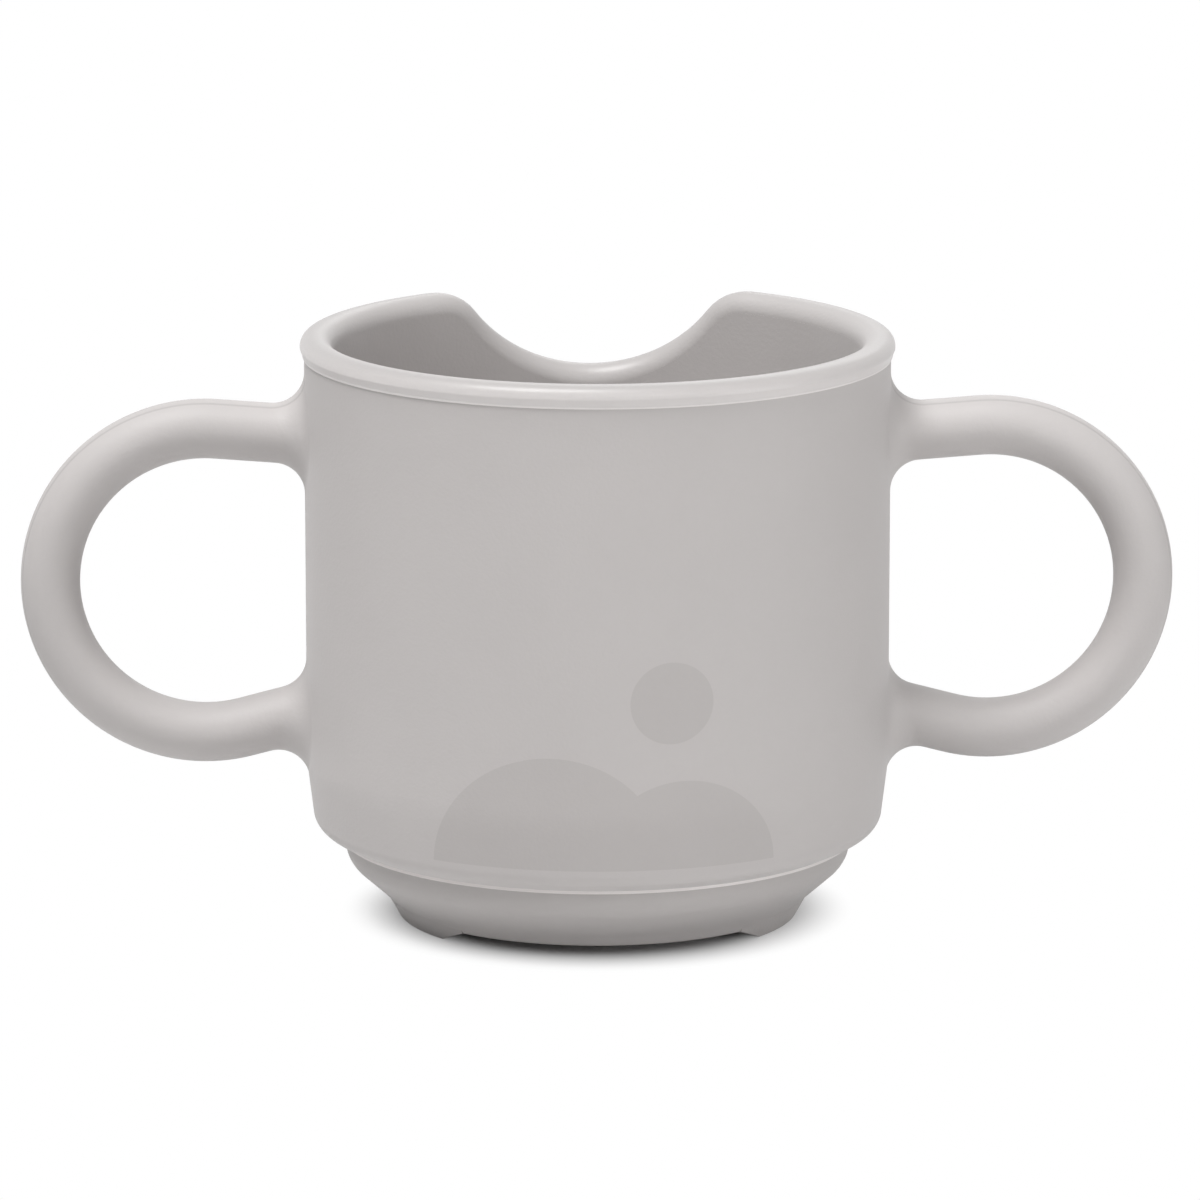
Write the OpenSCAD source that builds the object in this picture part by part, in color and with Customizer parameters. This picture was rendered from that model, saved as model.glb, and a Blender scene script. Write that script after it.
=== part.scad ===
// Two-handled baby drinking cup in soft silicone, with a nose cut-out at the back of the rim.
// Millimetres. Z is up and the table is z = 0. The handles lie along X, the front faces -Y.

/* [Walls] */
// Outer diameter of the straight wall
body_d = 72; // [68:0.5:78]
// Height from the table to the top of the rim
cup_h = 72.7; // [68:0.1:80]
// Thickness of the outer sleeve
sleeve_t = 1.7; // [1.4:0.1:2]
// Thickness of the inner cup
liner_t = 1.75; // [1.4:0.05:2.1]
// Clearance between pieces that fit into each other
fit_gap = 0.1; // [0.05:0.01:0.15]

/* [Rim] */
// How far the rim bead stands out from the sleeve
rim_proud = 0.55; // [0.3:0.05:0.9]
// Height of the rim bead above the edge of the sleeve
rim_h = 2.85; // [2.5:0.05:3.4]
// Thickness of the tongue on the inner cup that enters the bead
tongue_t = 0.9; // [0.7:0.05:1.1]
// How far the tongue lies inside the outer face of the inner cup
tongue_in = 0.3; // [0.2:0.05:0.4]
// Height of that tongue
tongue_h = 1.2; // [0.8:0.1:1.5]

/* [Nose cut-out] */
// Depth of the cut-out below the top of the rim
cut_depth = 10.25; // [8:0.05:12]
// Radius of the bottom of the cut-out
cut_r = 18; // [16:0.5:22]
// Radius of the shoulders beside the cut-out
shoulder_r = 6.6; // [5.6:0.2:9]

/* [Lower end of the sleeve] */
// Height of the lower edge of the sleeve
edge_h = 9.75; // [9:0.05:11]
// How far the lower edge lies inside the wall
edge_in = 4.15; // [3.6:0.05:5]
// Width of the lower edge
edge_w = 0.9; // [0.7:0.1:1.2]
// Height of the heel above the lower edge
heel_rise = 1.85; // [1.6:0.05:2.4]
// How far the heel lies inside the wall
heel_in = 0.95; // [0.7:0.05:1.4]
// Radius of the heel
heel_r = 2.3; // [1.9:0.1:2.6]
// Height above the heel at which the sleeve starts to lean inward
lean_rise = 7.7; // [6:0.1:9]
// Radius of the soft bend where it starts to lean
lean_r = 26; // [18:1:28]

/* [Inner cup] */
// Radius of the soft corner between the wall and the ledge
ledge_fillet = 2.5; // [1.5:0.1:3]
// Radius of the edge between the ledge and the bowl
ledge_round = 1.2; // [0.6:0.1:1.4]
// Radius of the soft corner around the floor
floor_fillet = 3; // [2:0.1:4]

/* [Base] */
// How far the base lies inside the lower edge of the sleeve
base_in = 0.6; // [0.3:0.05:0.8]
// Height of the upright band at the top of the base
band_h = 2.5; // [2:0.1:3]
// Radius of the bend under the band
band_r = 3.6; // [2.4:0.1:4.2]
// How far the base draws in below the band
turn_in = 4.9; // [4.4:0.1:5.4]
// Height above the sole at which the base turns down to the feet
turn_rise = 1.4; // [1.2:0.1:1.8]
// Radius of that hollow turn
turn_r = 3.7; // [2:0.1:5]
// How far the sole lies inside the turn
sole_in = 0.8; // [0.6:0.05:1.1]
// Thickness of the sole
sole_t = 2.1; // [1.9:0.1:2.6]
// Thickness of the neck that stands inside the sleeve
neck_t = 1.7; // [1.4:0.1:2]
// Height of the neck above the lower edge of the sleeve
neck_h = 1.7; // [1.5:0.1:2]

/* [Feet] */
// Height of the feet
foot_h = 1.5; // [1.2:0.1:1.9]
// How far the lower edge of a foot lies inside the edge of the sole
foot_in = 0.85; // [0.5:0.05:1.2]
// Width of a foot across its arc
foot_w = 4.2; // [3.6:0.1:5]
// Angle that each foot covers
foot_angle = 76; // [66:1:90]
// Radius of the lower edge of a foot
foot_round = 0.3; // [0.2:0.05:0.5]
// Thickness of the rib that holds a foot
rib_t = 1.2; // [1:0.1:1.5]
// Height of that rib
rib_h = 1.1; // [0.8:0.1:1.3]
// Angle that the rib covers
rib_angle = 60; // [40:1:64]

/* [Handles] */
// How far the handles stand out from the wall
grip_reach = 35.1; // [33:0.1:38]
// Depth of the middle of the handles below the edge of the sleeve
grip_drop = 28; // [27:0.05:29]
// Radius of the handle measured to the middle of its bar
grip_r = 19.1; // [17.5:0.1:20]
// Thickness of the bar seen from the front
bar_t = 7.3; // [6.4:0.1:8]
// Depth of the bar from front to back
bar_w = 8; // [7:0.2:9]
// Fall of the upper arm towards the wall
upper_fall = 4.3; // [2:0.1:7]
// Rise of the lower arm towards the wall
lower_rise = 14.5; // [10:0.5:17]
// Radius of the fillet where an arm meets the wall
root_r = 3.9; // [3:0.1:4.4]
// Diameter of the pegs that key the handles into the sleeve
peg_d = 4.6; // [4:0.1:5.2]

/* [Front inlays] */
// Thickness of the inlays
inlay_t = 0.5; // [0.4:0.05:0.7]
// Height of the lower end of the hills
inlay_h = 13.4; // [13.2:0.1:14.4]
// Radius of the large hill
hill_r = 14; // [12:0.5:16]
// Radius of the small hill
knoll_r = 11; // [10:0.5:13]
// Distance of the two hills from each other
hill_span = 16; // [14:0.5:19]
// Radius of the sun
sun_r = 5; // [4:0.2:6]
// Height of the middle of the sun
sun_h = 34; // [32.5:0.5:38]

/* [Hidden] */
$fn = 96;

// Walls and rim
wall_r = body_d / 2;
liner_r = wall_r - sleeve_t - fit_gap;
tongue_r = liner_r - tongue_in;
bore_r = liner_r - liner_t;
bead_r = (wall_r + rim_proud - bore_r) / 2;
bead_mid = bore_r + bead_r;
wall_top = cup_h - rim_h;

// Nose cut-out: one hollow arc between two round shoulders that touch it
cut_sum = cut_r + shoulder_r;
cut_z = cup_h - cut_depth + cut_r;
shoulder_z = cup_h - shoulder_r;
cut_x = sqrt(cut_sum * cut_sum - (cut_sum - cut_depth) * (cut_sum - cut_depth));
cut_slope = asin(cut_x / cut_sum);
shoulder_steps = 8;
cut_steps = 16;

// Corners of the sleeve's outer face, from the top down
sleeve_a = [wall_r, wall_top];
sleeve_b = [wall_r, edge_h + heel_rise + lean_rise];
sleeve_c = [wall_r - heel_in, edge_h + heel_rise];
sleeve_d = [wall_r - edge_in, edge_h];
least_r = 0.2;
// The soft bend is limited so that it ends a little above the heel
lean_turn = atan(heel_in / lean_rise);
heel_turn = atan((edge_in - heel_in) / heel_rise) - lean_turn;
lean_room = norm([heel_in, lean_rise]) - heel_r * tan(heel_turn / 2);
lean_share = 0.97;
lean_bend = min(lean_r, lean_share * lean_room / tan(lean_turn / 2));
lean_steps = 10;
heel_steps = 6;

// Neck of the base and the ledge of the inner cup that stands on it
mouth_r = sleeve_d[0] - edge_w;
neck_r = mouth_r - fit_gap;
neck_top = edge_h + neck_h;
pocket_r = neck_r - neck_t;
pocket_z = foot_h + sole_t;
bend_steps = 6;

// Corners of the outer face of the base, from the top down
base_a = [sleeve_d[0] - base_in, edge_h];
base_b = base_a - [0, band_h];
base_c = [base_b[0] - turn_in, foot_h + turn_rise];
base_d = [base_c[0] - sole_in, foot_h];
pocket_low = base_c[0] - neck_t;

// Feet
foot_r = base_d[0];

// Handles
grip_x = wall_r + grip_reach - grip_r - bar_t / 2;
grip_h = wall_top - grip_drop;
bar_sides = 20;
root_steps = 5;
grip_steps = 24;
// The fillet ends short of its tangent so that its edge keeps a little thickness
root_end = 0.86;

// Corner of a line moved sideways by t, to the left of the way from a to c
function beside(a, b, c, t) =
    let (u = (b - a) / norm(b - a), v = (c - b) / norm(c - b))
    let (m = [-u[1], u[0]], n = [-v[1], v[0]])
    b + t * (m + n) / (1 + m * n);

// Points of the arc that rounds the corner b between a and c
function bend(a, b, c, r, steps) =
    let (u = (a - b) / norm(a - b), v = (c - b) / norm(c - b))
    let (half = acos(u * v) / 2)
    let (mid = b + (u + v) / norm(u + v) * r / sin(half))
    let (from = b + u * r / tan(half) - mid, to = b + v * r / tan(half) - mid)
    [for (i = [0:steps])
        let (w = i / steps * (180 - 2 * half))
        mid + (from * sin(180 - 2 * half - w) + to * sin(w)) / sin(180 - 2 * half)];

// The sleeve's outer face moved inward by t, from the top down
function sleeve_line(t) =
    let (a = sleeve_a - [t, 0], b = beside(sleeve_a, sleeve_b, sleeve_c, -t))
    let (c = beside(sleeve_b, sleeve_c, sleeve_d, -t))
    let (d = c + sleeve_d - sleeve_c)
    concat(
        [a],
        bend(a, b, c, lean_bend - t, lean_steps),
        bend(b, c, d, max(heel_r - t, least_r), heel_steps));

// Height of the lower slope of that face at radius r
function slope_height(t, r) =
    let (c = beside(sleeve_b, sleeve_c, sleeve_d, -t))
    c[1] + (r - c[0]) * (sleeve_d[1] - sleeve_c[1]) / (sleeve_d[0] - sleeve_c[0]);

// Upper edge of a wall along the cut-out, lowered by d, from left to right
function cut_line(d) = concat(
    [for (i = [0:shoulder_steps - 1])
        let (a = 90 - i / shoulder_steps * cut_slope)
        [-cut_x + (shoulder_r - d) * cos(a), shoulder_z + (shoulder_r - d) * sin(a)]],
    [for (i = [0:cut_steps])
        let (a = (2 * i / cut_steps - 1) * cut_slope)
        [(cut_r + d) * sin(a), cut_z - (cut_r + d) * cos(a)]],
    [for (i = [shoulder_steps - 1:-1:0])
        let (a = 90 + i / shoulder_steps * cut_slope)
        [cut_x + (shoulder_r - d) * cos(a), shoulder_z + (shoulder_r - d) * sin(a)]]);

// Everything above the edge of a wall at the cut-out, whose ends run on upward across the top of the wall
module cut_out(d) {
    line = cut_line(d);
    last = len(line) - 1;
    left = 2 * line[0] - line[1];
    right = 2 * line[last] - line[last - 1];
    translate([0, body_d, 0])
        rotate([90, 0, 0])
            linear_extrude(body_d)
                polygon(concat(
                    [left],
                    [for (i = [1:last - 1]) line[i]],
                    [right, [right[0], cup_h + rim_h], [left[0], cup_h + rim_h]]));
}

// Middle of a list of points
function middle(points) = [for (p = points) 1] * points / len(points);

// Solid body of closed rings of points, capped at both ends or joined into a loop
module ring_body(rings, loop) {
    count = len(rings);
    sides = len(rings[0]);
    last = loop ? count : count - 1;
    walls = [for (i = [0:last - 1], k = [0:sides - 1])
        let (j = (i + 1) % count, n = (k + 1) % sides)
        each [
            [i * sides + k, i * sides + n, j * sides + n],
            [i * sides + k, j * sides + n, j * sides + k]]];
    head = [for (k = [0:sides - 1]) [(k + 1) % sides, k, count * sides]];
    tail = [for (k = [0:sides - 1])
        [last * sides + k, last * sides + (k + 1) % sides, count * sides + 1]];
    points = [for (ring = rings) each ring];
    if (loop)
        polyhedron(points, walls);
    else
        polyhedron(concat(points, [middle(rings[0]), middle(rings[last])]), concat(walls, head, tail));
}

// Inner cup: wall, ledge, lower bowl and floor
module inner_cup() {
    ledge_rise = neck_top - slope_height(sleeve_t + fit_gap, neck_r);
    ledge_r = neck_r + ledge_rise * (edge_in - heel_in) / heel_rise;
    bowl_r = pocket_r - fit_gap;
    bowl_low = [pocket_low - fit_gap, pocket_z + fit_gap];
    outside = concat(
        sleeve_line(sleeve_t + fit_gap),
        [[ledge_r, neck_top], [bowl_r, neck_top], [bowl_r, base_b[1]], bowl_low]);
    wall_low = [bore_r, sleeve_b[1]];
    ledge_out = [bore_r - heel_in, neck_top + liner_t];
    ledge_in = [bowl_r - liner_t, neck_top + liner_t];
    floor_out = [bowl_low[0] - liner_t / 2, bowl_low[1] + liner_t];
    floor_mid = [0, floor_out[1]];
    inside = concat(
        [floor_mid],
        bend(floor_mid, floor_out, ledge_in, floor_fillet, bend_steps),
        bend(floor_out, ledge_in, ledge_out, ledge_round, bend_steps),
        bend(ledge_in, ledge_out, wall_low, ledge_fillet, bend_steps),
        bend(ledge_out, wall_low, [bore_r, wall_top], ledge_fillet, bend_steps));
    tongue_low = wall_top - cut_depth - 2 * tongue_h;
    color([0.72, 0.71, 0.70])
        union() {
            difference() {
                rotate_extrude()
                    polygon(concat(outside, [[0, bowl_low[1]]], inside, [[bore_r, wall_top]]));
                cut_out(rim_h);
            }
            difference() {
                rotate_extrude()
                    translate([tongue_r - tongue_t, tongue_low])
                        square([tongue_t, wall_top + tongue_h - tongue_low]);
                cut_out(rim_h - tongue_h);
            }
        }
}

// Section of the bead as radius and depth below the top, with the groove for the tongue
function bead_section() =
    let (low = asin((rim_h - bead_r) / bead_r), steps = 11)
    let (groove_in = tongue_r - tongue_t - fit_gap, groove_out = tongue_r + fit_gap)
    let (groove_top = rim_h - tongue_h - fit_gap)
    concat(
        [for (i = [0:steps])
            let (a = -low + i / steps * (180 + low))
            [bead_mid + bead_r * cos(a), bead_r - bead_r * sin(a)]],
        [[bore_r, rim_h], [groove_in, rim_h], [groove_in, groove_top], [groove_out, groove_top],
         [groove_out, rim_h]]);

// Rim bead: one closed loop that follows the rim and the cut-out
module rim_bead() {
    section = bead_section();
    level_steps = 44;
    level_from = asin(cut_x / bore_r) + 180 / level_steps;
    dip = [for (i = [0:2 * shoulder_steps + cut_steps])
        [for (p = section)
            let (at = cut_line(p[1])[i])
            [at[0], sqrt(p[0] * p[0] - at[0] * at[0]), at[1]]]];
    level = [for (i = [0:level_steps])
        let (a = level_from + i / level_steps * (360 - 2 * level_from))
        [for (p = section) [p[0] * sin(a), p[0] * cos(a), cup_h - p[1]]]];
    color([0.80, 0.79, 0.78])
        ring_body(concat(dip, level), true);
}

// Body that fills the sleeve's outer face moved inward by t
module sleeve_core(t) {
    rotate_extrude()
        polygon(concat(sleeve_line(t), [sleeve_d - [t, 0], [0, edge_h], [0, wall_top]]));
}

// Outline of the two hills seen from the front, grown by g
module hills_outline(g) {
    difference() {
        union() {
            translate([-hill_span / 2 + (hill_r - knoll_r) / 2, inlay_h])
                circle(r = hill_r + g);
            translate([hill_span / 2 + (hill_r - knoll_r) / 2, inlay_h])
                circle(r = knoll_r + g);
        }
        translate([-body_d, inlay_h - g - body_d])
            square([2 * body_d, body_d]);
    }
}

// Outline of the sun, grown by g
module sun_outline(g) {
    translate([hill_span / 2, sun_h])
        circle(r = sun_r + g);
}

// Room in front of the floor of the inlays' pockets, inside an outline
module front_room() {
    difference() {
        rotate([90, 0, 0])
            linear_extrude(body_d)
                children();
        sleeve_core(inlay_t);
    }
}

// Round keys of both handles, through the whole cup
module pegs(d) {
    for (z = [root_height(1), root_height(-1)])
        translate([-body_d, 0, z])
            rotate([0, 90, 0])
                cylinder(d = d, h = 2 * body_d);
}

// Outer sleeve: wall with the cut-out, the sockets of the handles and the pockets of the inlays
module outer_sleeve() {
    mouth_z = slope_height(sleeve_t, mouth_r);
    inside = sleeve_line(sleeve_t);
    color([0.70, 0.69, 0.68])
        difference() {
            rotate_extrude()
                polygon(concat(
                    sleeve_line(0),
                    [sleeve_d, [mouth_r, edge_h], [mouth_r, mouth_z]],
                    [for (i = [len(inside) - 1:-1:0]) inside[i]]));
            cut_out(rim_h);
            pegs(peg_d + 2 * fit_gap);
            front_room()
                hills_outline(fit_gap);
            front_room()
                sun_outline(fit_gap);
        }
}

// Angle on the handle's arc where an arm leaves it, upper arm 1 and lower arm -1
function arm_angle(arm) = arm > 0 ? 90 + upper_fall : -90 - lower_rise;

// Point on the middle of the bar where that arm leaves the arc
function arm_start(arm) =
    [grip_x, 0, grip_h] + grip_r * [cos(arm_angle(arm)), 0, sin(arm_angle(arm))];

// Way of that arm towards the wall
function arm_way(arm) = arm * [-sin(arm_angle(arm)), 0, cos(arm_angle(arm))];

// Height of the middle of that arm at the wall
function root_height(arm) =
    let (from = arm_start(arm), way = arm_way(arm))
    from[2] + (wall_r - from[0]) / way[0] * way[2];

// Side of the bar at angle a of its section: offset from the middle and outward normal
function bar_offset(out, a) = [0, bar_w / 2 * cos(a), 0] + bar_t / 2 * sin(a) * out;
function bar_normal(out, a) =
    let (n = [0, cos(a) / bar_w, 0] + sin(a) / bar_t * out)
    n / norm(n);

// Ring of a root fillet, from the bar at s = 0 to the wall at s = 1
function root_ring(arm, s) =
    let (out = [cos(arm_angle(arm)), 0, sin(arm_angle(arm))], way = arm_way(arm))
    let (reach = wall_r + root_r)
    [for (k = [0:bar_sides - 1])
        let (a = 360 * k / bar_sides, n = bar_normal(out, a))
        let (start = arm_start(arm) + bar_offset(out, a) + root_r * n)
        let (x = sqrt(reach * reach - start[1] * start[1]))
        let (mid = start + (x - start[0]) / way[0] * way)
        let (wall = [mid[0], mid[1], 0] / reach, turn = acos(n * wall))
        mid - root_r * (n * sin((1 - s) * turn) + wall * sin(s * turn)) / sin(turn)];

// Rings of a root from the end of its peg in the wall to the bar
function root_rings(arm) =
    let (edge = root_ring(arm, root_end))
    concat(
        [[for (p = edge) [wall_r - sleeve_t + fit_gap, p[1], p[2]]]],
        [for (i = [0:root_steps]) root_ring(arm, root_end * (1 - i / root_steps))]);

// Right handle: bar, flared roots that lie on the sleeve and two pegs
module handle() {
    upper = root_rings(1);
    lower = root_rings(-1);
    grip = [for (i = [0:grip_steps])
        let (a = arm_angle(1) + i / grip_steps * (arm_angle(-1) - arm_angle(1)))
        let (out = [cos(a), 0, sin(a)])
        [for (k = [0:bar_sides - 1])
            [grip_x, 0, grip_h] + grip_r * out + bar_offset(out, 360 * k / bar_sides)]];
    difference() {
        ring_body(concat(upper, grip, [for (i = [len(lower) - 1:-1:0]) lower[i]]), false);
        difference() {
            sleeve_core(0);
            pegs(peg_d);
        }
    }
}

module right_handle() {
    color([0.71, 0.70, 0.69])
        handle();
}

module left_handle() {
    color([0.71, 0.70, 0.69])
        mirror([1, 0, 0])
            handle();
}

// Ring sector centred on +X with a section given in radius and height
module sector(angle, section) {
    rotate([0, 0, -angle / 2])
        rotate_extrude(angle = angle)
            polygon(section);
}

// Section of the rib that holds a foot, grown by g
function rib_section(g) =
    let (mid = foot_r - foot_w / 2)
    [[mid - rib_t / 2 - g, foot_h / 2], [mid + rib_t / 2 + g, foot_h / 2],
     [mid + rib_t / 2 + g, foot_h + rib_h + g], [mid - rib_t / 2 - g, foot_h + rib_h + g]];

// Base: band, slope, sole and the neck inside the sleeve
module base() {
    outside = concat(
        [[neck_r, neck_top], [neck_r, edge_h], base_a],
        bend(base_a, base_b, base_c, band_r, bend_steps),
        bend(base_b, base_c, base_d, turn_r, bend_steps),
        [base_d, [0, foot_h]]);
    pocket = [[0, pocket_z], [pocket_low, pocket_z], [pocket_r, base_b[1]], [pocket_r, neck_top]];
    // Room at both ends of a rib, as an angle
    end_room = fit_gap / foot_r * 180 / PI;
    color([0.62, 0.61, 0.60])
        difference() {
            rotate_extrude()
                polygon(concat(outside, pocket));
            for (side = [0, 180])
                rotate([0, 0, side])
                    sector(rib_angle + 2 * end_room, rib_section(fit_gap));
        }
}

// Right foot: low pad that carries on the slope of the base, and the rib above it
module foot() {
    inner = foot_r - foot_w;
    sector(foot_angle, concat(
        [[foot_r, foot_h], [inner, foot_h], [inner, 0]],
        bend([inner, 0], [foot_r - foot_in, 0], [foot_r, foot_h], foot_round, bend_steps)));
    sector(rib_angle, rib_section(0));
}

module right_foot() {
    color([0.60, 0.59, 0.58])
        foot();
}

module left_foot() {
    color([0.60, 0.59, 0.58])
        rotate([0, 0, 180])
            foot();
}

// Inlays flush with the front of the sleeve
module hills_inlay() {
    color([0.66, 0.65, 0.64])
        intersection() {
            front_room()
                hills_outline(0);
            sleeve_core(0);
        }
}

module sun_inlay() {
    color([0.66, 0.65, 0.64])
        intersection() {
            front_room()
                sun_outline(0);
            sleeve_core(0);
        }
}

inner_cup();
rim_bead();
outer_sleeve();
left_handle();
right_handle();
base();
left_foot();
right_foot();
hills_inlay();
sun_inlay();
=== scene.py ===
"""Two-handled baby drinking cup in soft grey silicone, dressed around its packed solids."""

import math

import bmesh
import bpy
from bpy.props import FloatProperty, FloatVectorProperty, IntProperty, PointerProperty
from bpy.types import Operator, Panel, PropertyGroup
from mathutils import Matrix, Vector


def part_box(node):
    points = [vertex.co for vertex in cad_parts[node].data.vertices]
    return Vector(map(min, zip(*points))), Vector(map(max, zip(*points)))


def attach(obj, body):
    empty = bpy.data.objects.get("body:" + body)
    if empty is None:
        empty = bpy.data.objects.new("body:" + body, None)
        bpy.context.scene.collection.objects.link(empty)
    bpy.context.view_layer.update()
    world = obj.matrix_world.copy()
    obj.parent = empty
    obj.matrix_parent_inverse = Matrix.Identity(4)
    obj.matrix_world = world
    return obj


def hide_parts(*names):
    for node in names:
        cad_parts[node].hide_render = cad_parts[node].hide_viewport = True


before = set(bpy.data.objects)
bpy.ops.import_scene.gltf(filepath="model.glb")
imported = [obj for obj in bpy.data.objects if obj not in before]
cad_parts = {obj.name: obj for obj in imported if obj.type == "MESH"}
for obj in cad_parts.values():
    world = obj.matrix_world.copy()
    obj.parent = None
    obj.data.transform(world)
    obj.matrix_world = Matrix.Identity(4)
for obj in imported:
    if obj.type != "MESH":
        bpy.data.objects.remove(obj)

bl_info = {
    "name": "Baby Drinking Cup",
    "version": (1, 0, 0),
    "blender": (4, 5, 0),
    "location": "View3D > Sidebar > Cup",
    "description": "Makes a two-handled silicone drinking cup around its packed solids",
    "category": "Add Mesh",
}

MM = 0.001
BODY = "root"
WHITE = (1.0, 1.0, 1.0, 1.0)

# Section of the rim bead: how square its crown is, where its sides end on the circle it is drawn from,
# and the name of the map of painted light and shade that its material reads
CROWN_POWER = 0.85
SIDE_SINE = 0.6
RIM_PAINTED_LIGHT_AND_SHADE = "Rim shade"

# Map of the handles, and the place of the bar's outer side in it as a share of the way around
BAR_MAP = "Bar"
OUTER_SIDE = 0.25

# Numbers of steps in the meshes
COLUMNS = 240
WALL_STEPS = 20
FLOOR_STEPS = 10
LEAN_STEPS = 24
BEND_STEPS = 12
EDGE_STEPS = 8
LIP_TOP_STEPS = 4
LIP_EDGE_STEPS = 6
PROFILE_POINTS = 144
HANDLE_SIDES = 56
ROOT_STEPS = 16
GRIP_STEPS = 96
FOOT_STEPS = 190
INLAY_STEPS = 40
INLAY_ROWS = 24
STAGE_SIDES = 96

# Points nearer than this become one, and edges sharper than this stay sharp
MERGE_DISTANCE = 1e-7
SHARP_ANGLE = math.radians(38)

# Noise of the silicone: sizes of the clouds and the grain, and how much they change the roughness
NOISE_MIDDLE = 0.5
CLOUD_SCALE = 70.0
CLOUD_DETAIL = 3.0
CLOUD_ROUGHNESS = 0.55
GRAIN_SCALE = 2200.0
GRAIN_DETAIL = 4.0
GRAIN_TINT = 0.5
GRAIN_GLOSS = 0.14
CLOUD_GLOSS = 0.10

# Soft lights, which face the middle of the cup: name, place, width and the value that holds the power
CUP_MIDDLE = Vector((0.0, 0.0, 0.04))
LIGHTS = (
    ("Top light", Vector((-0.3, -0.25, 1.15)), 0.7, "top_power"),
    ("Front light", Vector((0.1, -0.5, 0.32)), 0.32, "front_power"),
    ("Side light", Vector((0.45, -0.25, 0.06)), 0.3, "side_power"),
    ("Back light", Vector((0.2, 1.1, 0.7)), 0.6, "back_power"),
)
SENSOR_WIDTH = 36.0
CLIP_START = 0.05

# Boxes of the solids, which the sizes below start from
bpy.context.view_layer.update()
SLEEVE_LOW, SLEEVE_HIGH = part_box("outer_sleeve")
LINER_LOW, LINER_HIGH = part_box("inner_cup")
_, RIM_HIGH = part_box("rim_bead")
_, GRIP_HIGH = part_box("right_handle")
BASE_LOW, BASE_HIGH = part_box("base")
_, FOOT_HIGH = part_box("right_foot")
HILLS_LOW, HILLS_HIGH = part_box("hills_inlay")
SUN_LOW, SUN_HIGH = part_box("sun_inlay")


def length(description, default):
    """A size in metres that a user may change."""
    return FloatProperty(description=description, default=default, unit="LENGTH", precision=5)


def angle(description, degrees):
    """An angle that a user may change."""
    turn = math.radians(degrees)
    return FloatProperty(description=description, default=turn, subtype="ANGLE", unit="ROTATION")


def colour(description, default):
    """A colour that a user may change."""
    opaque = (*default, 1.0)
    return FloatVectorProperty(
        description=description, default=opaque, subtype="COLOR", size=4, min=0.0, max=1.0)


def share(description, default):
    """A plain number that a user may change."""
    return FloatProperty(description=description, default=default, min=0.0)


def whole(description, default, least):
    """A whole number that a user may change."""
    return IntProperty(description=description, default=default, min=least)


class CupWalls(PropertyGroup):
    """Sizes of the outer sleeve and the inner cup."""

    wall_radius: length("Outer radius of the straight wall", SLEEVE_HIGH.x)
    wall_top: length("Height of the sleeve's upper edge under the rim", SLEEVE_HIGH.z)
    sleeve_thick: length("Thickness of the outer sleeve", 1.7 * MM)
    liner_radius: length("Outer radius of the inner cup", LINER_HIGH.x)
    liner_thick: length("Thickness of the inner cup", 1.75 * MM)
    liner_proud: length("How far the inner cup covers the inner side of the rim", 0.004 * MM)
    liner_low: length("Height of the underside of the inner cup", LINER_LOW.z)
    edge_height: length("Height of the sleeve's lower edge", SLEEVE_LOW.z)
    heel_inset: length("How far the heel lies inside the wall", 0.95 * MM)
    heel_rise: length("Height of the heel above the lower edge", 1.85 * MM)
    heel_radius: length("Radius of the heel", 2.3 * MM)
    lean_rise: length("Height above the heel where the wall starts to lean in", 7.7 * MM)
    lean_radius: length("Radius of the bend where it starts to lean in", 26 * MM)
    lip_radius: length("Outer radius of the thin lip at the lower edge", 31.95 * MM)
    lip_height: length("Height of the lip", 0.35 * MM)
    lip_flare: length("How far the lip widens towards its lower end", 0.03 * MM)
    lip_widest: share("Height at which the lip is widest, as a share of its own", 0.3)
    lip_top_bend: length("Radius of the bend above the lip", 0.06 * MM)
    lip_edge_bend: length("Radius of the outer edge of the lip", 0.1 * MM)
    mouth_radius: length("Radius of the opening in the lower end of the sleeve", 30.95 * MM)
    mouth_rise: share("Height of that opening's straight side, in thicknesses of the sleeve", 0.8)
    least_bend: length("Least radius of the heel on the inner side", 0.2 * MM)
    ledge_height: length("Height of the ledge inside the cup", 13.2 * MM)
    bowl_radius: length("Inner radius of the lower bowl at the ledge", 27.3 * MM)
    floor_radius: length("Inner radius of the lower bowl at its floor", 23.68 * MM)
    floor_height: length("Height of the floor of the bowl", 5.45 * MM)
    ledge_bend: length("Radius of the bends between the inner wall and the ledge", 2.5 * MM)
    bowl_bend: length("Radius of the edge between the ledge and the bowl", 1.2 * MM)
    floor_bend: length("Radius of the bend around the floor", 3 * MM)
    wall_stop: length("Height above the lean at which the upright inner wall ends", 1.2 * MM)
    floor_margin: length("Width of the floor's border that the bend takes up", 4 * MM)
    bowl_side: length("Height of the upright outside of the bowl under the ledge", 3 * MM)
    ledge_margin: length("Distance of the ledge's underside from the outer wall", 2 * MM)


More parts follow.
